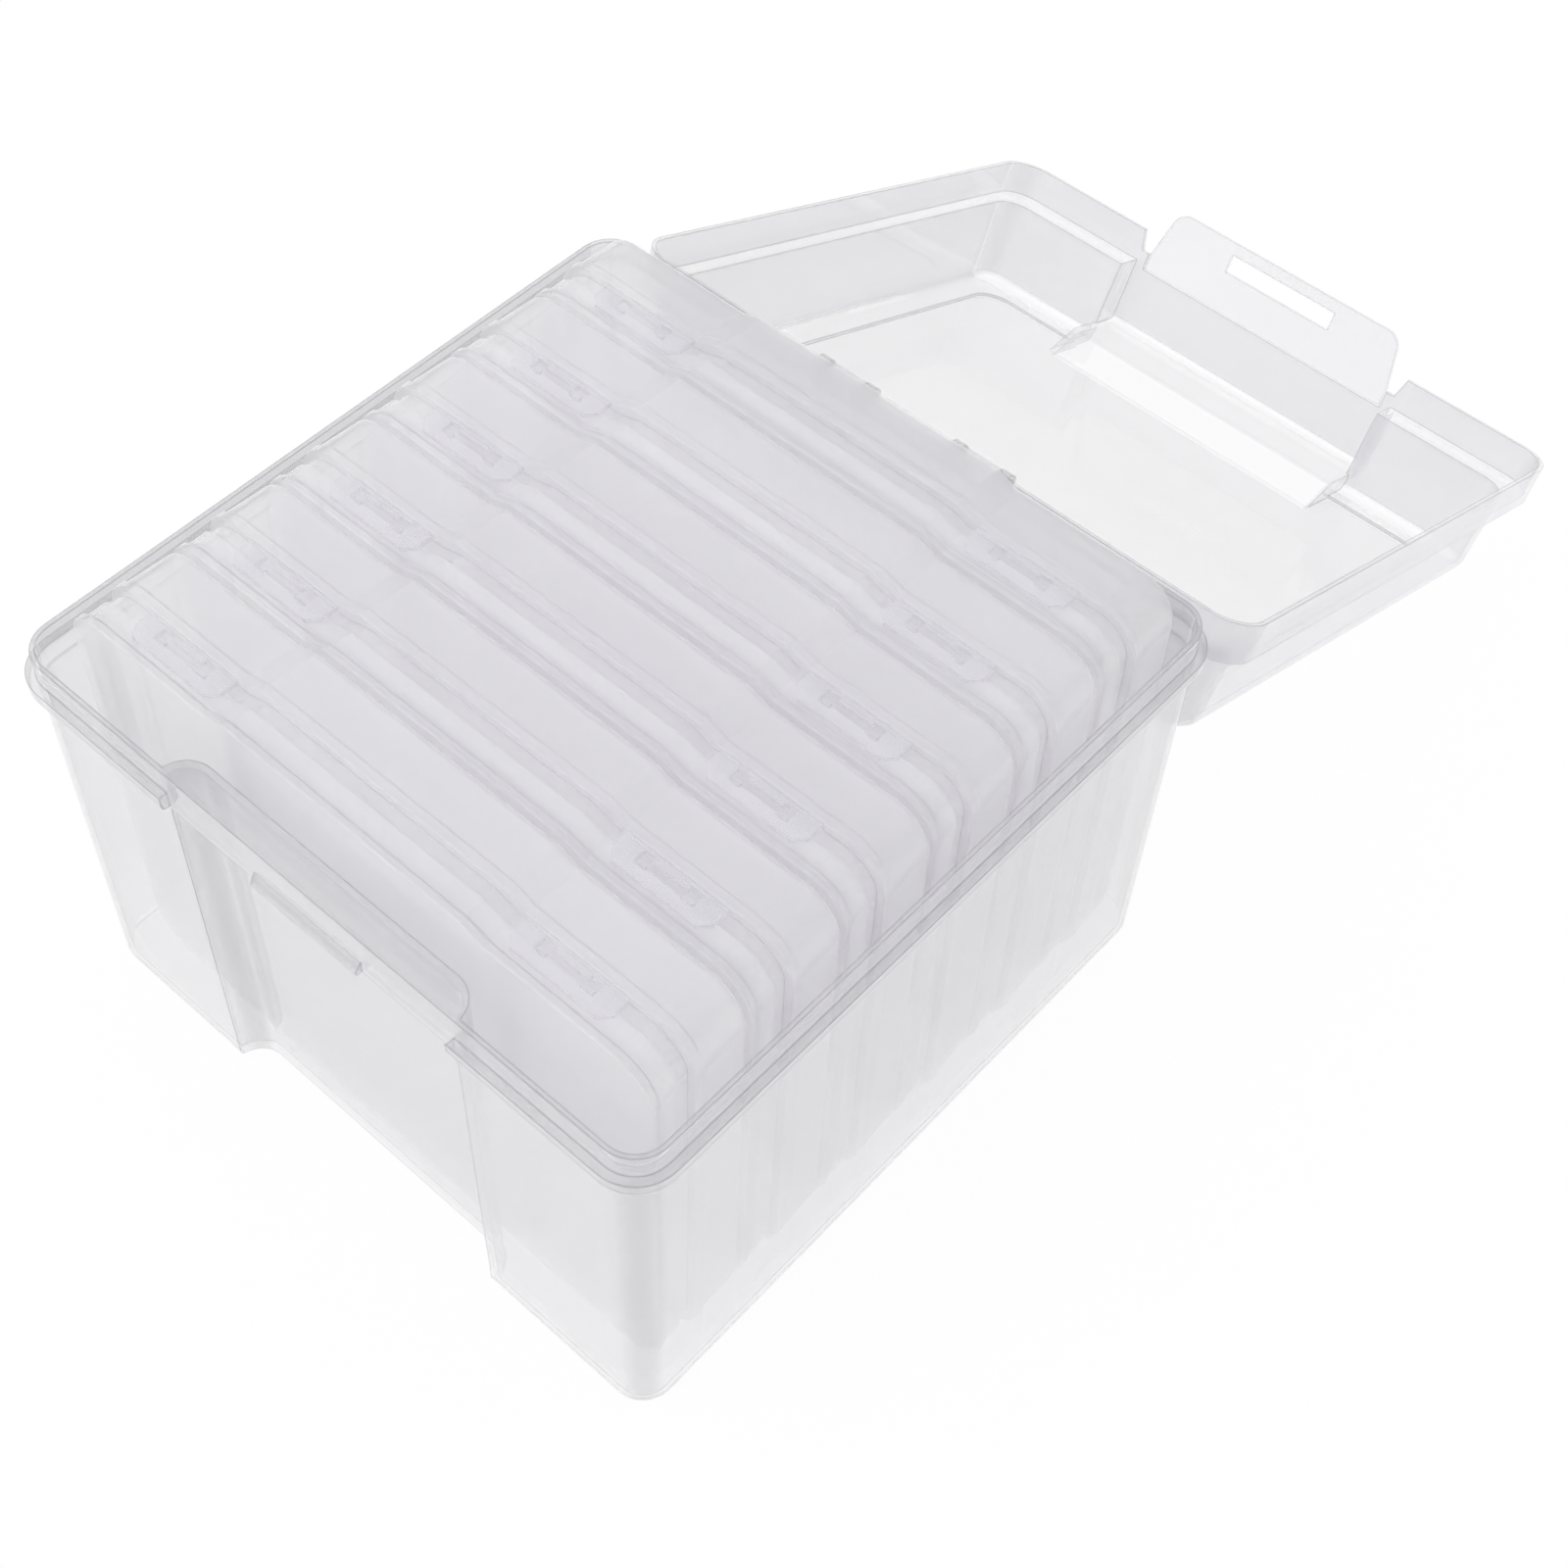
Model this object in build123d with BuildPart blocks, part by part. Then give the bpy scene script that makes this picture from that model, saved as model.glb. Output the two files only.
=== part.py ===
from build123d import *

import math
import os

os.makedirs("parts", exist_ok=True)

# A lidded box holding six photo cases on edge, all moulded in clear plastic.
# Millimetres. Origin: centre of the tub's underside. +Z up, -Y is the front
# (the side with the finger well), +X is to the right seen from the front.

# ---------------------------------------------------------------- sizes

# Photo cases
CASE_COUNT = 6
CASE_LENGTH = 167.0
CASE_HEIGHT = 123.4
CASE_THICKNESS = 25.9
CASE_GAP = 0.74
CASE_CORNER = 11.0
CASE_WALL = 1.1
CASE_FLOAT = 0.6
CASE_X = 1.2
CROWN_RISE = 2.2
CROWN_SLOPE = 6.0
CROWN_ROUND = 2.0

# Case lid, measured back from the case's front face
FACE_INSET = 0.6
FACE_RIM = 1.9
SEAM_WIDTH = 0.3
SEAM_INSET = 1.6
SKIRT_INSET = 1.3
SKIRT_END = 7.2
SKIRT_WALL = 0.8
FACE_WALL = 1.2
FACE_ROUND = 0.5

# Case tray
TONGUE_PLAY = 0.1
TONGUE_START = 4.0
TRAY_START = 10.6
BEAD_WIDTH = 2.5
BEAD_ROUND = 0.4
TRAY_INSET = 0.4
TRAY_DRAFT = 0.5
TRAY_ROUND = 1.6

# Case latches
LATCH_LENGTH = 26.6
LATCH_FROM_END = 29.4
LATCH_SIDE_GAP = 0.4
LATCH_THICKNESS = 1.0
LATCH_FRONT = 3.3
LATCH_BACK_GAP = 0.3
LATCH_CORNER = 2.4
SLOT_LENGTH = 15.2
SLOT_WIDTH = 1.8
SLOT_Y = 7.3
EYE_SIZE = 3.0
EYE_Y = 7.6
CATCH_LENGTH = 2.2
CATCH_WIDTH = 0.8
CATCH_SINK = 0.4

# Tub
SIDE_ROOM = 4.85
FRONT_ROOM = 9.05
BACK_ROOM = 6.9
TUB_WALL = 1.2
TUB_FLOOR = 1.6
TUB_HEIGHT = 113.0
TUB_CORNER = 8.5
TUB_DRAFT_RUN = 0.4
TUB_FOOT_ROUND = 2.0
LIP_HEIGHT = 6.5
BAND_HEIGHT = 4.5
BAND_REACH = 2.2
BAND_ROUND = 1.7
BAND_EASE = 0.4

# Finger well in the tub's front, the bridge over it and the bridge's apron
WELL_WIDTH = 83.4
WELL_DEPTH = 6.5
WELL_CORNER = 6.0
BRIDGE_THICKNESS = 1.2
APRON_HEIGHT = 12.0
BRIDGE_CATCH_LENGTH = 31.0
BRIDGE_CATCH_REACH = 1.6
BRIDGE_CATCH_HEIGHT = 3.2
BRIDGE_CATCH_NOSE = 0.8
BRIDGE_CATCH_PLAY = 0.5

# Box lid, in its own frame: the hinge axis is the origin and the top is up
LID_WALL = 1.2
LID_PLAY = 0.95
LID_FRONT_PLAY = 1.4
LID_SEAT_GAP = 0.3
LID_CORNER = 10.0
LID_SKIRT = 10.5
LID_HEIGHT = 34.5
LID_STEP = 4.0
LID_FRONT_STEP = 8.5
LID_BODY_CORNER = 9.0
LID_DRAFT_RUN = 1.3
LID_TOP_ROUND = 4.0
LID_BOW_WIDTH = 91.0
LID_BOW_HEIGHT = 30.0
LID_BOW_ROUND = 3.0
PANEL_INSET = 8.5
PANEL_RISE = 0.8
PANEL_SLOPE = 10.0
RECESS_WIDTH = 88.0
RECESS_REACH = 21.5
RECESS_RAMP = 9.0

# Lid hinge
HINGE_BACK = 5.25
HINGE_DROP = 2.3
HINGE_SPACING = 40.0
HINGE_OPEN_ANGLE = 203.8
ARM_WIDTH = 10.0
ARM_RADIUS = 2.0
ARM_FOOT_UP = 1.7
ARM_FOOT_HEIGHT = 6.0
LUG_THICKNESS = 3.0
LUG_RADIUS = 2.3
LUG_FOOT_HEIGHT = 9.0
LUG_TOP_DROP = 0.6
LUG_SIDE_GAP = 0.4
PIN_RADIUS = 1.1
PIN_PLAY = 0.1

# Lid latch, a flap hung on the skirt
FLAP_AXIS_UP = 10.0
FLAP_ROOT_WIDTH = 82.0
FLAP_TIP_WIDTH = 75.0
FLAP_STRAIGHT = 4.0
FLAP_REACH = 9.5
FLAP_CORNER = 5.0
FLAP_REST_ANGLE = 2.5
FLAP_GAP = 0.3
NOTCH_UP = 6.0
NOTCH_WIDTH = 2.7
NOTCH_FLARE = 1.7
WINDOW_LENGTH = 35.0
WINDOW_HEIGHT = 5.2
WINDOW_BELOW_RIM = 0.7

# ---------------------------------------------------------------- places

CASE_PITCH = CASE_THICKNESS + CASE_GAP
LATCH_OFFSET = CASE_LENGTH / 2 - LATCH_FROM_END
CROWN_FOOT = LATCH_OFFSET - LATCH_LENGTH / 2 - LATCH_SIDE_GAP
BAND_TOP = TUB_HEIGHT - LIP_HEIGHT
CASE_BOTTOM = TUB_FLOOR + CASE_FLOAT
CASE_TOP = CASE_BOTTOM + CASE_HEIGHT
CASE_ROW = CASE_COUNT * CASE_PITCH - CASE_GAP
TUB_LENGTH = CASE_LENGTH + 2 * (SIDE_ROOM + TUB_WALL)
TUB_WIDTH = FRONT_ROOM + CASE_ROW + BACK_ROOM + 2 * TUB_WALL
TUB_FRONT = -TUB_WIDTH / 2
TUB_BACK = TUB_WIDTH / 2
CASE_FRONT = TUB_FRONT + TUB_WALL + FRONT_ROOM

LID_LENGTH = TUB_LENGTH + 2 * (LID_PLAY + LID_WALL)
LID_WIDTH = TUB_WIDTH + LID_PLAY + LID_FRONT_PLAY + 2 * LID_WALL
LID_BACK_Y = TUB_BACK + LID_PLAY + LID_WALL
HINGE_Y = LID_BACK_Y + HINGE_BACK
HINGE_Z = BAND_TOP + LID_SEAT_GAP - HINGE_DROP
LID_CENTRE = -(HINGE_BACK + LID_WIDTH / 2)
LID_FRONT = -(HINGE_BACK + LID_WIDTH)

OPEN = math.radians(HINGE_OPEN_ANGLE)
LID_PLANE = Plane(
    origin=(0, HINGE_Y, HINGE_Z),
    x_dir=(1, 0, 0),
    z_dir=(0, math.sin(OPEN), math.cos(OPEN)),
)
LID_SIDE_PLANE = Plane(
    origin=LID_PLANE.origin,
    x_dir=LID_PLANE.y_dir,
    z_dir=LID_PLANE.x_dir,
)

FLAP_AXIS_Y = LID_FRONT + LID_WALL / 2
FLAP_AXIS_Z = HINGE_DROP + FLAP_AXIS_UP
REST = math.radians(FLAP_REST_ANGLE)
FLAP_ORIGIN = LID_PLANE.from_local_coords((0, FLAP_AXIS_Y, FLAP_AXIS_Z))
FLAP_DOWN = (
    LID_PLANE.y_dir * -math.sin(REST)
    - LID_PLANE.z_dir * math.cos(REST)
)
FLAP_PLANE = Plane(
    origin=FLAP_ORIGIN,
    x_dir=LID_PLANE.x_dir,
    z_dir=LID_PLANE.x_dir.cross(FLAP_DOWN),
)
FLAP_LENGTH = FLAP_AXIS_UP + FLAP_REACH

TUB_DRAFT = math.degrees(math.atan2(TUB_DRAFT_RUN, TUB_HEIGHT))
LID_DRAFT = math.degrees(math.atan2(LID_DRAFT_RUN, LID_HEIGHT))

# ---------------------------------------------------------------- tub


def tub_plan(inset):
    """Draws the tub's outline with its finger well, moved in by inset."""
    RectangleRounded(
        TUB_LENGTH - 2 * inset,
        TUB_WIDTH - 2 * inset,
        TUB_CORNER - inset,
    )
    with Locations((0, TUB_FRONT)):
        RectangleRounded(
            WELL_WIDTH + 2 * inset,
            2 * (WELL_DEPTH + inset),
            WELL_CORNER + inset,
            mode=Mode.SUBTRACT,
        )


with BuildPart() as tub:
    # Outer form, with the band that carries the lid
    with BuildSketch(Plane.XY):
        RectangleRounded(
            TUB_LENGTH - 2 * TUB_DRAFT_RUN,
            TUB_WIDTH - 2 * TUB_DRAFT_RUN,
            TUB_CORNER - TUB_DRAFT_RUN,
        )
    extrude(amount=TUB_HEIGHT, taper=-TUB_DRAFT)
    with BuildSketch(Plane.XY.offset(BAND_TOP - BAND_HEIGHT)):
        RectangleRounded(
            TUB_LENGTH + 2 * BAND_REACH,
            TUB_WIDTH + 2 * BAND_REACH,
            TUB_CORNER + BAND_REACH,
        )
    extrude(amount=BAND_HEIGHT)
    outer_edges = tub.edges().filter_by(
        lambda e: abs(e.center().X) > TUB_LENGTH / 2 + BAND_REACH / 2
        or abs(e.center().Y) > TUB_WIDTH / 2 + BAND_REACH / 2
        or (
            abs(e.center().X) > TUB_LENGTH / 2 - TUB_CORNER / 2
            and abs(e.center().Y) > TUB_WIDTH / 2 - TUB_CORNER / 2
            and math.hypot(
                abs(e.center().X) - TUB_LENGTH / 2 + TUB_CORNER,
                abs(e.center().Y) - TUB_WIDTH / 2 + TUB_CORNER,
            )
            > TUB_CORNER + BAND_REACH / 2
        )
    )
    fillet(
        outer_edges.filter_by_position(
            Axis.Z,
            BAND_TOP - BAND_HEIGHT - BAND_EASE / 2,
            BAND_TOP - BAND_HEIGHT + BAND_EASE / 2,
        ),
        BAND_ROUND,
    )
    fillet(tub.edges().group_by(Axis.Z)[0], TUB_FOOT_ROUND)
    # Finger well, full height
    with BuildSketch(Plane.XY):
        with Locations((0, TUB_FRONT)):
            RectangleRounded(
                WELL_WIDTH + 2 * TUB_DRAFT_RUN,
                2 * (WELL_DEPTH + TUB_DRAFT_RUN),
                WELL_CORNER + TUB_DRAFT_RUN,
            )
    extrude(amount=TUB_HEIGHT, taper=TUB_DRAFT, mode=Mode.SUBTRACT)
    # Cavity
    with BuildSketch(Plane.XY.offset(TUB_HEIGHT)):
        tub_plan(TUB_WALL)
    extrude(amount=TUB_FLOOR - TUB_HEIGHT, taper=TUB_DRAFT, mode=Mode.SUBTRACT)
    # Bridge and apron over the well
    with BuildSketch(Plane.XY.offset(TUB_HEIGHT - BRIDGE_THICKNESS)):
        with Locations((0, TUB_FRONT)):
            RectangleRounded(
                WELL_WIDTH + TUB_WALL,
                2 * WELL_DEPTH + TUB_WALL,
                WELL_CORNER + TUB_WALL / 2,
            )
            Rectangle(
                WELL_WIDTH + TUB_WALL,
                WELL_DEPTH + TUB_WALL,
                align=(Align.CENTER, Align.MIN),
                mode=Mode.INTERSECT,
            )
    extrude(amount=BRIDGE_THICKNESS)
    with BuildSketch(Plane.XY.offset(TUB_HEIGHT - APRON_HEIGHT)):
        with Locations((0, TUB_FRONT)):
            Rectangle(
                WELL_WIDTH + TUB_WALL,
                BRIDGE_THICKNESS,
                align=(Align.CENTER, Align.MIN),
            )
    extrude(amount=APRON_HEIGHT)
    # Catch for the lid's latch, a nose on the apron
    catch_low = (
        BAND_TOP
        + LID_SEAT_GAP
        - WINDOW_BELOW_RIM
        - WINDOW_HEIGHT
        + BRIDGE_CATCH_PLAY
    )
    catch_high = catch_low + BRIDGE_CATCH_HEIGHT
    catch_nose = TUB_FRONT - BRIDGE_CATCH_REACH
    with BuildSketch(Plane.YZ.offset(-BRIDGE_CATCH_LENGTH / 2)):
        with BuildLine():
            Polyline(
                (TUB_FRONT + BRIDGE_THICKNESS / 2, catch_low),
                (catch_nose, catch_low),
                (catch_nose, catch_low + BRIDGE_CATCH_NOSE),
                (TUB_FRONT, catch_high),
                (TUB_FRONT + BRIDGE_THICKNESS / 2, catch_high),
                close=True,
            )
        make_face()
    extrude(amount=BRIDGE_CATCH_LENGTH)
    # Hinge lugs on the back
    lug_start = ARM_WIDTH / 2 + LUG_SIDE_GAP
    for hinge_x in (-HINGE_SPACING / 2, HINGE_SPACING / 2):
        for lug_x in (hinge_x - lug_start - LUG_THICKNESS, hinge_x + lug_start):
            with BuildSketch(Plane.YZ.offset(lug_x)):
                with Locations((HINGE_Y, HINGE_Z)):
                    Circle(LUG_RADIUS)
                with Locations((TUB_BACK, BAND_TOP - LUG_TOP_DROP)):
                    Rectangle(
                        TUB_WALL,
                        LUG_FOOT_HEIGHT,
                        align=(Align.CENTER, Align.MAX),
                    )
                make_hull()
                with Locations((HINGE_Y, HINGE_Z)):
                    Circle(PIN_RADIUS + PIN_PLAY, mode=Mode.SUBTRACT)
            extrude(amount=LUG_THICKNESS)
tub.part.label = "tub"
export_step(tub.part, "parts/tub.step")

# ---------------------------------------------------------------- box lid


def lid_form(inset):
    """The lid's solid form, moved in by inset all over but the open side."""
    top = HINGE_DROP + LID_HEIGHT - inset
    body_length = LID_LENGTH - 2 * LID_STEP
    body_width = LID_WIDTH - LID_STEP - LID_FRONT_STEP
    body_centre = LID_CENTRE + (LID_FRONT_STEP - LID_STEP) / 2
    with BuildPart() as form:
        # Skirt
        with BuildSketch(LID_PLANE.offset(HINGE_DROP)):
            with Locations((0, LID_CENTRE)):
                RectangleRounded(
                    LID_LENGTH - 2 * inset,
                    LID_WIDTH - 2 * inset,
                    LID_CORNER - inset,
                )
        extrude(amount=LID_SKIRT - inset)
        # Body
        with BuildSketch(LID_PLANE.offset(HINGE_DROP)):
            with Locations((0, body_centre)):
                RectangleRounded(
                    body_length - 2 * inset,
                    body_width - 2 * inset,
                    LID_BODY_CORNER - inset,
                )
        extrude(amount=LID_HEIGHT - inset, taper=LID_DRAFT)
        top_axis = Axis(LID_PLANE.origin, LID_PLANE.z_dir)
        fillet(form.edges().group_by(top_axis)[-1], LID_TOP_ROUND - inset)
        # Raised panel
        panel_inset = inset + LID_DRAFT_RUN + PANEL_INSET
        with BuildSketch(LID_PLANE.offset(top)):
            with Locations((0, body_centre)):
                RectangleRounded(
                    body_length - 2 * panel_inset,
                    body_width - 2 * panel_inset,
                    LID_BODY_CORNER - inset,
                )
        extrude(amount=PANEL_RISE, taper=PANEL_SLOPE)
        # Thumb recess in the front of the top
        bow_top = HINGE_DROP + LID_BOW_HEIGHT
        recess_y = LID_FRONT + RECESS_REACH
        recess_half = RECESS_WIDTH / 2 + inset
        with BuildSketch(LID_SIDE_PLANE.offset(-recess_half)):
            with BuildLine():
                Polyline(
                    (LID_FRONT, bow_top),
                    (recess_y, bow_top),
                    (recess_y + 2 * RECESS_RAMP, 2 * (top + inset) - bow_top),
                    (LID_FRONT, 2 * (top + inset) - bow_top),
                    close=True,
                )
            make_face()
            if inset > 0:
                offset(amount=inset, kind=Kind.INTERSECTION)
        extrude(amount=2 * recess_half, mode=Mode.SUBTRACT)
        # Middle of the front, level with the skirt
        with BuildSketch(LID_SIDE_PLANE.offset(-LID_BOW_WIDTH / 2 + inset)):
            with BuildLine():
                Polyline(
                    (LID_FRONT + inset, HINGE_DROP),
                    (recess_y, HINGE_DROP),
                    (recess_y, bow_top - inset),
                    (LID_FRONT + inset, bow_top - inset),
                    close=True,
                )
            make_face()
            fillet(
                vertices().sort_by(Axis.X)[:2].sort_by(Axis.Y)[-1:],
                LID_BOW_ROUND - inset,
            )
        extrude(amount=LID_BOW_WIDTH - 2 * inset)
    return form.part


with BuildPart() as lid:
    add(lid_form(0))
    add(lid_form(LID_WALL), mode=Mode.SUBTRACT)
    # Opening in the skirt for the flap, with a flared notch at each end
    skirt_front = LID_PLANE.from_local_coords((0, LID_FRONT, 0))
    front_plane = Plane(
        origin=skirt_front,
        x_dir=LID_PLANE.x_dir,
        z_dir=LID_PLANE.y_dir * -1,
    )
    flap_half = FLAP_ROOT_WIDTH / 2
    notch_half = flap_half + NOTCH_WIDTH
    rim_half = notch_half + NOTCH_FLARE
    hinge_edge = FLAP_AXIS_Z + LID_WALL / 2 + FLAP_GAP
    with BuildSketch(front_plane):
        with BuildLine():
            Polyline(
                (-rim_half, HINGE_DROP),
                (-notch_half, HINGE_DROP + NOTCH_UP),
                (-flap_half - FLAP_GAP, HINGE_DROP + NOTCH_UP),
                (-flap_half - FLAP_GAP, hinge_edge),
                (flap_half + FLAP_GAP, hinge_edge),
                (flap_half + FLAP_GAP, HINGE_DROP + NOTCH_UP),
                (notch_half, HINGE_DROP + NOTCH_UP),
                (rim_half, HINGE_DROP),
                close=True,
            )
        make_face()
    extrude(amount=-LID_WALL, mode=Mode.SUBTRACT)
    # Hinge arms with a pin at each side
    for hinge_x in (-HINGE_SPACING / 2, HINGE_SPACING / 2):
        with BuildSketch(LID_SIDE_PLANE.offset(hinge_x - ARM_WIDTH / 2)):
            Circle(ARM_RADIUS)
            with Locations((-HINGE_BACK, HINGE_DROP + ARM_FOOT_UP)):
                Rectangle(
                    LID_WALL / 2,
                    ARM_FOOT_HEIGHT,
                    align=(Align.MAX, Align.MIN),
                )
            make_hull()
        extrude(amount=ARM_WIDTH)
        pin_half = ARM_WIDTH / 2 + LUG_SIDE_GAP + LUG_THICKNESS
        with BuildSketch(LID_SIDE_PLANE.offset(hinge_x - pin_half)):
            Circle(PIN_RADIUS)
        extrude(amount=2 * pin_half)
lid.part.label = "lid"
export_step(lid.part, "parts/lid.step")

# ---------------------------------------------------------------- lid latch

with BuildPart() as lid_latch:
    with BuildSketch(FLAP_PLANE):
        with BuildLine():
            Polyline(
                (-FLAP_ROOT_WIDTH / 2, 0),
                (-FLAP_ROOT_WIDTH / 2, FLAP_STRAIGHT),
                (-FLAP_TIP_WIDTH / 2, FLAP_LENGTH),
                (FLAP_TIP_WIDTH / 2, FLAP_LENGTH),
                (FLAP_ROOT_WIDTH / 2, FLAP_STRAIGHT),
                (FLAP_ROOT_WIDTH / 2, 0),
                close=True,
            )
        make_face()
        fillet(vertices().group_by(Axis.Y)[-1], FLAP_CORNER)
        with Locations((0, FLAP_AXIS_UP + WINDOW_BELOW_RIM)):
            Rectangle(
                WINDOW_LENGTH,
                WINDOW_HEIGHT,
                align=(Align.CENTER, Align.MIN),
                mode=Mode.SUBTRACT,
            )
    extrude(amount=LID_WALL / 2, both=True)
    # Rounded root, turning about the axis
    root_plane = Plane(
        origin=FLAP_ORIGIN,
        x_dir=LID_PLANE.y_dir,
        z_dir=LID_PLANE.x_dir,
    )
    with BuildSketch(root_plane.offset(-FLAP_ROOT_WIDTH / 2)):
        Circle(LID_WALL / 2)
    extrude(amount=FLAP_ROOT_WIDTH)
lid_latch.part.label = "lid_latch"
export_step(lid_latch.part, "parts/lid_latch.step")

# ---------------------------------------------------------------- cases


def case_face(inset):
    """Draws a case's outline, seen from the front, moved in by inset."""
    with Locations((CASE_X, CASE_BOTTOM + CASE_HEIGHT / 2)):
        RectangleRounded(
            CASE_LENGTH - 2 * inset,
            CASE_HEIGHT - 2 * inset,
            CASE_CORNER - inset,
        )
    level = CASE_TOP - inset
    half_foot = CROWN_FOOT - inset
    half_top = half_foot - CROWN_SLOPE
    Polygon(
        (CASE_X - half_foot, level - CROWN_RISE),
        (CASE_X - half_foot, level),
        (CASE_X - half_top, level + CROWN_RISE),
        (CASE_X + half_top, level + CROWN_RISE),
        (CASE_X + half_foot, level),
        (CASE_X + half_foot, level - CROWN_RISE),
        align=None,
    )
    fillet(
        vertices().filter_by(
            lambda v: v.Y > level - CROWN_RISE / 2
            and abs(v.X - CASE_X) < half_foot + CROWN_RISE
        ),
        CROWN_ROUND,
    )


def case_slab(inset, start, end):
    """A slab of the case's outline between two depths from its front."""
    with BuildPart() as slab:
        with BuildSketch(Plane.XZ.offset(-(CASE_FRONT + start))):
            case_face(inset)
        extrude(amount=start - end)
    return slab.part


skirt_inner = SKIRT_INSET + SKIRT_WALL
tongue_outer = skirt_inner + TONGUE_PLAY
tongue_inner = tongue_outer + CASE_WALL
bead_end = TRAY_START + BEAD_WIDTH
tray_taper = math.degrees(
    math.atan2(TRAY_DRAFT, CASE_THICKNESS - bead_end)
)

with BuildPart() as case_tray:
    # Bead round the mouth, then the drafted deep part
    add(case_slab(0, TRAY_START, bead_end))
    fillet(
        case_tray.edges().group_by(Axis.Y)[0],
        BEAD_ROUND,
    )
    with BuildSketch(Plane.XZ.offset(-(CASE_FRONT + bead_end))):
        case_face(TRAY_INSET)
    extrude(amount=bead_end - CASE_THICKNESS, taper=tray_taper)
    fillet(case_tray.edges().group_by(Axis.Y)[-1], TRAY_ROUND)
    # Tongue inside the case lid's skirt
    add(case_slab(tongue_outer, TONGUE_START, TRAY_START))
    # Hollow
    mouth_depth = TRAY_START + CASE_WALL
    tray_inner = TRAY_INSET + TRAY_DRAFT + CASE_WALL
    add(case_slab(tongue_inner, TONGUE_START, mouth_depth), mode=Mode.SUBTRACT)
    add(
        case_slab(tray_inner, mouth_depth, CASE_THICKNESS - CASE_WALL),
        mode=Mode.SUBTRACT,
    )

with BuildPart() as case_lid:
    add(case_slab(FACE_INSET, 0, FACE_RIM))
    fillet(case_lid.edges().group_by(Axis.Y)[0], FACE_ROUND)
    add(case_slab(SEAM_INSET, FACE_RIM, FACE_RIM + SEAM_WIDTH))
    add(case_slab(SKIRT_INSET, FACE_RIM + SEAM_WIDTH, SKIRT_END))
    add(case_slab(skirt_inner, FACE_WALL, SKIRT_END), mode=Mode.SUBTRACT)
    # Catches under the latches' eyes
    eye_reach = (SLOT_LENGTH - EYE_SIZE) / 2
    catch_x = [
        CASE_X + side * LATCH_OFFSET + end * eye_reach
        for side in (-1, 1)
        for end in (-1, 1)
    ]
    catch_y = CASE_FRONT + SKIRT_END - CATCH_WIDTH / 2
    catch_top = CASE_TOP - CATCH_SINK
    catch_foot = CASE_TOP - skirt_inner + SKIRT_WALL / 2
    with BuildSketch(Plane.XY.offset(catch_foot)):
        with Locations([(x, catch_y) for x in catch_x]):
            Rectangle(CATCH_LENGTH, CATCH_WIDTH)
    extrude(amount=catch_top - catch_foot)

latch_back = TRAY_START - LATCH_BACK_GAP
latch_depth = latch_back - LATCH_FRONT
latch_low = CASE_TOP - LATCH_THICKNESS

with BuildPart() as case_latch:
    with BuildSketch(Plane.XY.offset(latch_low)):
        with Locations((0, CASE_FRONT + latch_back)):
            Rectangle(
                LATCH_LENGTH,
                latch_depth,
                align=(Align.CENTER, Align.MAX),
            )
        chamfer(vertices().group_by(Axis.Y)[0], LATCH_CORNER)
        with Locations((0, CASE_FRONT + SLOT_Y)):
            Rectangle(SLOT_LENGTH, SLOT_WIDTH, mode=Mode.SUBTRACT)
        with Locations(
            (-eye_reach, CASE_FRONT + EYE_Y),
            (eye_reach, CASE_FRONT + EYE_Y),
        ):
            Rectangle(EYE_SIZE, EYE_SIZE, mode=Mode.SUBTRACT)
    extrude(amount=LATCH_THICKNESS)

for number in range(1, CASE_COUNT + 1):
    back = (number - 1) * CASE_PITCH
    pieces = {
        "tray": Pos(0, back, 0) * case_tray.part,
        "lid": Pos(0, back, 0) * case_lid.part,
        "latch_left": Pos(CASE_X - LATCH_OFFSET, back, 0) * case_latch.part,
        "latch_right": Pos(CASE_X + LATCH_OFFSET, back, 0) * case_latch.part,
    }
    for piece, solid in pieces.items():
        node = f"case_{number}_{piece}"
        solid.label = node
        export_step(solid, f"parts/{node}.step")
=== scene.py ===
"""The photo keeper case's plastics, with its camera, light and floor."""

import math

import bpy
from mathutils import Matrix, Vector

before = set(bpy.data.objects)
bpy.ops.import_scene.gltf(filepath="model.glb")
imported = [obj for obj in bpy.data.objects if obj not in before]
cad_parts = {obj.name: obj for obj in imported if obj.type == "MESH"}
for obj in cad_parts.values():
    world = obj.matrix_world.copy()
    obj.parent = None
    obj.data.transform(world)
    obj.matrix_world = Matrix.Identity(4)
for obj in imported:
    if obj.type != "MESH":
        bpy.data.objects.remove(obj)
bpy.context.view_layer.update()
scene = bpy.context.scene
scene.view_settings.view_transform = "Standard"

# Many thin clear walls stand behind each other
scene.cycles.max_bounces = 28
scene.cycles.transmission_bounces = 16
scene.cycles.transparent_max_bounces = 40
scene.cycles.glossy_bounces = 4
scene.cycles.diffuse_bounces = 20
scene.cycles.caustics_reflective = True
scene.cycles.caustics_refractive = True
scene.cycles.sample_clamp_indirect = 4.0

# ---------------------------------------------------------------- camera

AZIMUTH = math.radians(41.04)
ELEVATION = math.radians(53.16)
ROLL = math.radians(1.65)
CAMERA_PLACE = Vector((0.2355, -0.2327, 0.5120))
SENSOR_WIDTH = 36.0
FOCAL_SHARE = 2524.4 / 1600.0
SHIFT_X = 0.0305
SHIFT_Y = -0.0173
CLIP_START = 0.01
CLIP_END = 20.0


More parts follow.
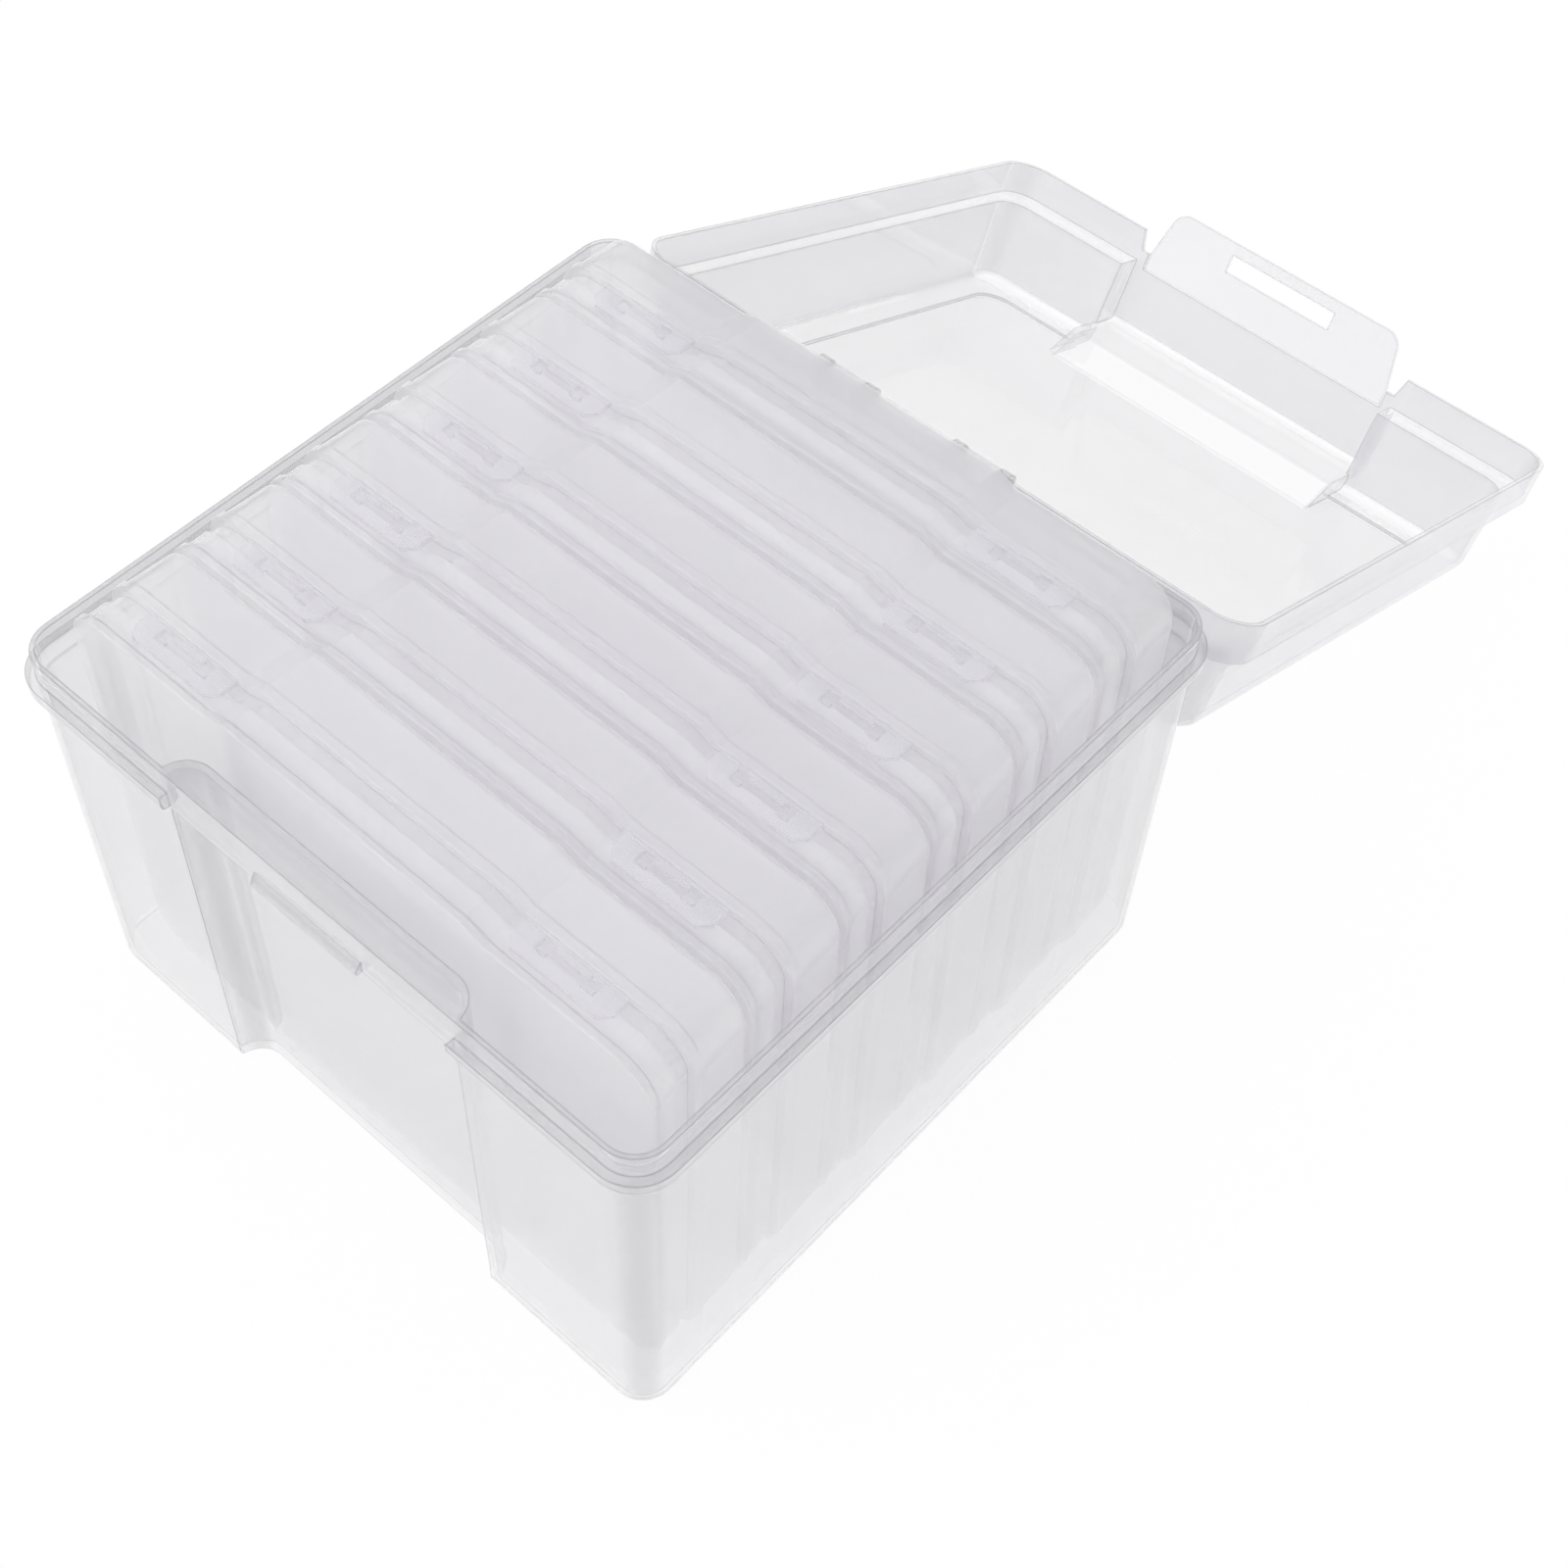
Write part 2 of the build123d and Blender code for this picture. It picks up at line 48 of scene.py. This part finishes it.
def place_camera():
    data = bpy.data.cameras.new("camera")
    data.sensor_width = SENSOR_WIDTH
    data.lens = FOCAL_SHARE * SENSOR_WIDTH
    data.shift_x = SHIFT_X
    data.shift_y = SHIFT_Y
    data.clip_start = CLIP_START
    data.clip_end = CLIP_END
    camera = bpy.data.objects.new("camera", data)
    scene.collection.objects.link(camera)
    back = Vector(
        (
            math.sin(AZIMUTH) * math.cos(ELEVATION),
            -math.cos(AZIMUTH) * math.cos(ELEVATION),
            math.sin(ELEVATION),
        )
    )
    right = Vector((math.cos(AZIMUTH), math.sin(AZIMUTH), 0.0))
    up = back.cross(right)
    turned_right = right * math.cos(ROLL) + up * math.sin(ROLL)
    turned_up = up * math.cos(ROLL) - right * math.sin(ROLL)
    rotation = Matrix((turned_right, turned_up, back)).transposed()
    camera.matrix_world = Matrix.Translation(CAMERA_PLACE) @ rotation.to_4x4()
    scene.camera = camera


place_camera()

# ---------------------------------------------------------------- materials

PLASTIC_IOR = 1.49
BENDING_IOR = 1.3
CLEAR_COLOUR = (0.997, 0.996, 1.0, 1.0)
WHITE = (1.0, 1.0, 1.0, 1.0)

# The moulding's slow unevenness, in noise cells to the metre and shares
FLOW_SCALE = 38.0
FLOW_LOW = 0.3
FLOW_HIGH = 0.7
TONE_LOW = 0.98
ROUGH_LOW = 0.8
ROUGH_HIGH = 1.2
WAVE_STRENGTH = 0.06
WAVE_HEIGHT = 0.0004

# Where the veil hides more and is painted darker: painted shade on walls seen
# along, on sharp edges and on rounded corners; above the band it is only darker
FACING_BLEND = 0.3
RIM_POWER = 2.0
EDGE_RADIUS = 0.0006
EDGE_SAMPLES = 4
EDGE_FLAT = 0.99
EDGE_SHARP = 0.88
BAND_FADE = 0.0008
CORNER_START = 0.15
CORNER_FULL = 0.5
LEVEL_PLATE = 0.9
UPRIGHT_WALL = 0.6

SCATTERED_THROUGH = 0.5
GLOSS_ROUGHNESS = 0.6


class Nodes:
    """A short way to wire a material's nodes."""

    def __init__(self, name):
        self.material = bpy.data.materials.new(name)
        self.material.use_nodes = True
        self.tree = self.material.node_tree
        self.tree.nodes.clear()
        self.output = self.tree.nodes.new("ShaderNodeOutputMaterial")

    def add(self, kind, **settings):
        node = self.tree.nodes.new(kind)
        for key, value in settings.items():
            if hasattr(node, key):
                setattr(node, key, value)
            else:
                node.inputs[key.replace("_", " ")].default_value = value
        return node

    def link(self, source, target):
        self.tree.links.new(source, target)

    def feed(self, value, target):
        """Put a number on a socket, or link another node's output to it."""
        if isinstance(value, bpy.types.NodeSocket):
            self.link(value, target)
        else:
            target.default_value = value

    def math(self, operation, *values):
        node = self.add("ShaderNodeMath", operation=operation)
        for value, target in zip(values, node.inputs):
            self.feed(value, target)
        return node.outputs["Value"]

    def span(self, value, start, end, low=0.0, high=1.0, kind="LINEAR"):
        """Carry value from the span start to end over to low to high."""
        node = self.add("ShaderNodeMapRange", interpolation_type=kind)
        self.feed(value, node.inputs["Value"])
        self.feed(start, node.inputs["From Min"])
        self.feed(end, node.inputs["From Max"])
        self.feed(low, node.inputs["To Min"])
        self.feed(high, node.inputs["To Max"])
        return node.outputs["Result"]

    def mix(self, share, first, second):
        node = self.add("ShaderNodeMixShader")
        self.feed(share, node.inputs["Fac"])
        self.link(first, node.inputs[1])
        self.link(second, node.inputs[2])
        return node.outputs["Shader"]

    def surface(self, shader):
        self.link(shader, self.output.inputs["Surface"])
        return self.material


def moulded(n, body, colour, roughness):
    """One slow noise for the moulding's tone, gloss and waviness."""
    coords = n.add("ShaderNodeTexCoord")
    noise = n.add("ShaderNodeTexNoise", Scale=FLOW_SCALE, Detail=0.0)
    n.link(coords.outputs["Object"], noise.inputs["Vector"])
    flow = noise.outputs["Fac"]
    tone = n.add("ShaderNodeValToRGB")
    low, high = tone.color_ramp.elements
    low.position = FLOW_LOW
    low.color = (*(part * TONE_LOW for part in colour), 1.0)
    high.position = FLOW_HIGH
    high.color = (*colour, 1.0)
    n.link(flow, tone.inputs["Fac"])
    rough = n.span(flow, 0.0, 1.0, roughness * ROUGH_LOW, roughness * ROUGH_HIGH)
    n.link(rough, body.inputs["Roughness"])
    wave = n.add("ShaderNodeBump", Strength=WAVE_STRENGTH, Distance=WAVE_HEIGHT)
    n.link(flow, wave.inputs["Height"])
    n.link(wave.outputs["Normal"], body.inputs["Normal"])
    return tone.outputs["Color"]


def sharp_edges(n, side):
    """1 along sharp edges and 0 on the faces between them."""
    rounded = n.add("ShaderNodeBevel", samples=EDGE_SAMPLES, Radius=EDGE_RADIUS)
    bent = n.add("ShaderNodeVectorMath", operation="DOT_PRODUCT")
    n.link(rounded.outputs["Normal"], bent.inputs[0])
    n.link(side.outputs["Normal"], bent.inputs[1])
    return n.span(bent.outputs["Value"], EDGE_FLAT, EDGE_SHARP)


def clear_plastic(n, bend, roughness):
    """What lies under the veil: mostly straight through, a share bent."""
    straight = n.add("ShaderNodeBsdfTransparent", Color=CLEAR_COLOUR)
    if bend == 0.0:
        return straight.outputs["BSDF"]
    glass = n.add("ShaderNodeBsdfGlass", IOR=BENDING_IOR, Color=CLEAR_COLOUR)
    glass.inputs["Roughness"].default_value = roughness
    return n.mix(bend, straight.outputs["BSDF"], glass.outputs["BSDF"])


def polypropylene(
    name,
    colour,
    edge,
    cover,
    wall_cover,
    edge_cover,
    inner,
    bend,
    roughness,
    rim_start,
    rim_painted_shade,
    edge_painted_shade,
    band_level=1.0,
    band_darkening=0.0,
    round_corner_painted_shade=0.0,
):
    """Clear moulded plastic: a milky veil over what stands behind it.

    The veil has the tone colour and hides the share cover, or wall_cover on
    upright walls. It goes over to the dark colour edge and to edge_cover
    where the wall is seen along from rim_start on, on sharp edges, above
    band_level and on rounded upright corners, each by its own share. On walls
    seen along, on sharp edges and on rounded corners this dark colour is
    painted shade; above band_level the veil is only made darker. Seen from
    inside the wall it has only the share inner of its cover. Under it the
    share bend refracts and the rest goes straight on.
    """
    n = Nodes(name)
    body = n.add("ShaderNodeBsdfPrincipled", IOR=PLASTIC_IOR)
    tone = moulded(n, body, colour, roughness)
    side = n.add("ShaderNodeNewGeometry")
    shape = n.add("ShaderNodeTexCoord")
    place = n.add("ShaderNodeSeparateXYZ")
    n.link(shape.outputs["Object"], place.inputs["Vector"])
    normal = n.add("ShaderNodeSeparateXYZ")
    n.link(shape.outputs["Normal"], normal.inputs["Vector"])

    # How dark the tone is painted: painted shade on walls seen along, on sharp
    # edges and on rounded upright corners, and darker above band_level
    facing = n.add("ShaderNodeLayerWeight", Blend=FACING_BLEND)
    rim = n.span(facing.outputs["Facing"], rim_start, 1.0, kind="SMOOTHSTEP")
    # Walls seen along are painted darker: painted shade
    along = n.math("MULTIPLY", n.math("POWER", rim, RIM_POWER), rim_painted_shade)
    # Sharp edges and creases are painted darker: painted shade
    line = n.math("MULTIPLY", sharp_edges(n, side), edge_painted_shade)
    # Darker above band_level
    band_end = band_level + BAND_FADE
    band = n.span(place.outputs["Z"], band_level, band_end, 0.0, band_darkening)
    # Rounded upright corners are painted darker: painted shade
    across = n.math("MULTIPLY", normal.outputs["X"], normal.outputs["Y"])
    turned = n.math("ABSOLUTE", across)
    corner = n.span(turned, CORNER_START, CORNER_FULL, 0.0, round_corner_painted_shade)
    painted_shade_and_band = n.math("MAXIMUM", line, n.math("MAXIMUM", band, corner))
    dark = n.math("MAXIMUM", along, painted_shade_and_band)

    # The veil, half of it scattered back and half scattered through
    # The tone goes over to the dark colour edge there: painted shade, and only
    # darker above the band
    tone_with_painted_shade = n.add("ShaderNodeMix", data_type="RGBA")
    tone_with_painted_shade.inputs["B"].default_value = (*edge, 1.0)
    n.link(dark, tone_with_painted_shade.inputs["Factor"])
    n.link(tone, tone_with_painted_shade.inputs["A"])
    n.link(tone_with_painted_shade.outputs["Result"], body.inputs["Base Color"])
    through = n.add("ShaderNodeBsdfTranslucent")
    n.link(tone_with_painted_shade.outputs["Result"], through.inputs["Color"])
    haze = n.mix(SCATTERED_THROUGH, body.outputs["BSDF"], through.outputs["BSDF"])

    # How much the veil hides
    level = n.math("ABSOLUTE", normal.outputs["Z"])
    plain = n.span(level, LEVEL_PLATE, UPRIGHT_WALL, cover, wall_cover)
    rim_shade_and_band = n.math("MAXIMUM", rim, painted_shade_and_band)
    amount = n.span(rim_shade_and_band, 0.0, 1.0, plain, edge_cover)
    outside = n.span(side.outputs["Backfacing"], 0.0, 1.0, 1.0, inner)
    seen = n.math("MULTIPLY", amount, outside)
    veil = n.mix(seen, clear_plastic(n, bend, roughness), haze)

    # Gloss on the outside of the wall only
    gloss = n.add("ShaderNodeBsdfGlossy", Color=WHITE)
    gloss.inputs["Roughness"].default_value = roughness * GLOSS_ROUGHNESS
    fresnel = n.add("ShaderNodeFresnel", IOR=PLASTIC_IOR)
    front = n.math("SUBTRACT", 1.0, side.outputs["Backfacing"])
    share = n.math("MULTIPLY", front, fresnel.outputs["Fac"])
    return n.surface(n.mix(share, veil, gloss.outputs["BSDF"]))


# The tub is made darker above this height
TUB_BAND_LEVEL = 0.102

# edge is a dark colour laid as painted shade on walls seen along, on sharp edges
# and on rounded corners
LID_PLASTIC = {
    "colour": (0.79, 0.785, 0.84),
    "edge": (0.26, 0.255, 0.30),
    "cover": 0.04,
    "edge_cover": 0.85,
    "inner": 0.3,
    "bend": 0.2,
    "roughness": 0.1,
    "rim_start": 0.55,
    "rim_painted_shade": 1.0,
}
CASE_PLASTIC = {
    # edge is the cases' dark colour, laid as painted shade on walls seen along
    # and on sharp edges
    "edge": (0.42, 0.41, 0.49),
    "edge_cover": 0.8,
    "inner": 0.15,
    "bend": 0.0,
    "rim_start": 0.42,
}
FROSTED = (0.996, 0.992, 1.0)

MATERIALS = {
    "tub": polypropylene(
        "tub_plastic",
        colour=(0.86, 0.855, 0.875),
        # edge: dark colour laid as painted shade on walls seen along, on sharp
        # edges and on rounded corners, and darker above the band
        edge=(0.20, 0.195, 0.24),
        cover=0.12,
        wall_cover=0.12,
        edge_cover=0.85,
        inner=0.3,
        bend=0.25,
        roughness=0.1,
        rim_start=0.42,
        rim_painted_shade=1.0,
        edge_painted_shade=0.9,
        band_level=TUB_BAND_LEVEL,
        band_darkening=0.28,
        round_corner_painted_shade=0.3,
    ),
    "lid": polypropylene(
        "lid_plastic",
        wall_cover=0.32,
        edge_painted_shade=0.8,
        round_corner_painted_shade=0.15,
        **LID_PLASTIC,
    ),
    "flap": polypropylene(
        "lid_latch_plastic",
        wall_cover=0.15,
        edge_painted_shade=0.6,
        **LID_PLASTIC,
    ),
    "tray": polypropylene(
        "case_tray_plastic",
        colour=FROSTED,
        cover=0.32,
        wall_cover=0.38,
        roughness=0.12,
        rim_painted_shade=0.06,
        edge_painted_shade=0.75,
        **CASE_PLASTIC,
    ),
    "case_lid": polypropylene(
        "case_lid_plastic",
        colour=FROSTED,
        cover=0.30,
        wall_cover=0.36,
        roughness=0.1,
        rim_painted_shade=0.06,
        edge_painted_shade=0.75,
        **CASE_PLASTIC,
    ),
    "latch": polypropylene(
        "case_latch_plastic",
        colour=(0.82, 0.815, 0.85),
        cover=0.30,
        wall_cover=0.30,
        roughness=0.1,
        rim_painted_shade=0.1,
        edge_painted_shade=0.4,
        **CASE_PLASTIC,
    ),
}


def material_for(name):
    if name in ("tub", "lid"):
        return MATERIALS[name]
    if name == "lid_latch":
        return MATERIALS["flap"]
    if "latch" in name:
        return MATERIALS["latch"]
    return MATERIALS["case_lid" if name.endswith("lid") else "tray"]


for name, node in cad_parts.items():
    for slot in node.material_slots:
        slot.material = material_for(name)

# ---------------------------------------------------------------- floor, light

FLOOR_REACH = 6.0
FLOOR_DROP = 0.0002
FLOOR_GREY = (0.90, 0.90, 0.90, 1.0)
FLOOR_WHITE_SHARE = 0.95

SKY_LOW = 0.88
SKY_HIGH = 1.5
GLINT_TOWARD = Vector((-0.45, -0.55, 0.70))
GLINT_START = 0.88
GLINT_FULL = 0.94
GLINT_STRENGTH = 1.5


def backdrop_material():
    """Plain white where it is seen, with a share that takes the shadow."""
    n = Nodes("backdrop")
    lit = n.add("ShaderNodeBsdfDiffuse", Color=FLOOR_GREY)
    plain = n.add("ShaderNodeEmission", Color=WHITE, Strength=1.0)
    path = n.add("ShaderNodeLightPath").outputs
    seen = n.math("MAXIMUM", path["Is Camera Ray"], path["Is Glossy Ray"])
    seen = n.math("MAXIMUM", seen, path["Is Transmission Ray"])
    share = n.math("MULTIPLY", seen, FLOOR_WHITE_SHARE)
    return n.surface(n.mix(share, lit.outputs["BSDF"], plain.outputs["Emission"]))


def floor():
    mesh = bpy.data.meshes.new("floor")
    corners = [
        (-FLOOR_REACH, -FLOOR_REACH, 0),
        (FLOOR_REACH, -FLOOR_REACH, 0),
        (FLOOR_REACH, FLOOR_REACH, 0),
        (-FLOOR_REACH, FLOOR_REACH, 0),
    ]
    mesh.from_pydata(corners, [], [(0, 1, 2, 3)])
    plane = bpy.data.objects.new("floor", mesh)
    plane.location.z = -FLOOR_DROP
    scene.collection.objects.link(plane)
    mesh.materials.append(backdrop_material())


def surroundings():
    """A sky brighter above, with one soft patch in front, seen as white."""
    world = bpy.data.worlds.new("world")
    scene.world = world
    world.use_nodes = True
    world.cycles.sampling_method = "NONE"
    tree = world.node_tree
    tree.nodes.clear()
    output = tree.nodes.new("ShaderNodeOutputWorld")
    coords = tree.nodes.new("ShaderNodeTexCoord")
    split = tree.nodes.new("ShaderNodeSeparateXYZ")
    tree.links.new(coords.outputs["Generated"], split.inputs["Vector"])
    rise = tree.nodes.new("ShaderNodeMapRange")
    rise.inputs["To Min"].default_value = SKY_LOW
    rise.inputs["To Max"].default_value = SKY_HIGH
    tree.links.new(split.outputs["Z"], rise.inputs["Value"])
    toward = tree.nodes.new("ShaderNodeVectorMath")
    toward.operation = "DOT_PRODUCT"
    toward.inputs[1].default_value = GLINT_TOWARD.normalized()
    tree.links.new(coords.outputs["Generated"], toward.inputs[0])
    patch = tree.nodes.new("ShaderNodeMapRange")
    patch.inputs["From Min"].default_value = GLINT_START
    patch.inputs["From Max"].default_value = GLINT_FULL
    patch.inputs["To Max"].default_value = GLINT_STRENGTH
    tree.links.new(toward.outputs["Value"], patch.inputs["Value"])
    total = tree.nodes.new("ShaderNodeMath")
    tree.links.new(rise.outputs["Result"], total.inputs[0])
    tree.links.new(patch.outputs["Result"], total.inputs[1])
    sky = tree.nodes.new("ShaderNodeBackground")
    tree.links.new(total.outputs["Value"], sky.inputs["Strength"])
    seen = tree.nodes.new("ShaderNodeBackground")
    seen.inputs["Color"].default_value = WHITE
    seen.inputs["Strength"].default_value = 1.0
    path = tree.nodes.new("ShaderNodeLightPath")
    mix = tree.nodes.new("ShaderNodeMixShader")
    tree.links.new(path.outputs["Is Camera Ray"], mix.inputs["Fac"])
    tree.links.new(sky.outputs["Background"], mix.inputs[1])
    tree.links.new(seen.outputs["Background"], mix.inputs[2])
    tree.links.new(mix.outputs["Shader"], output.inputs["Surface"])


floor()
surroundings()
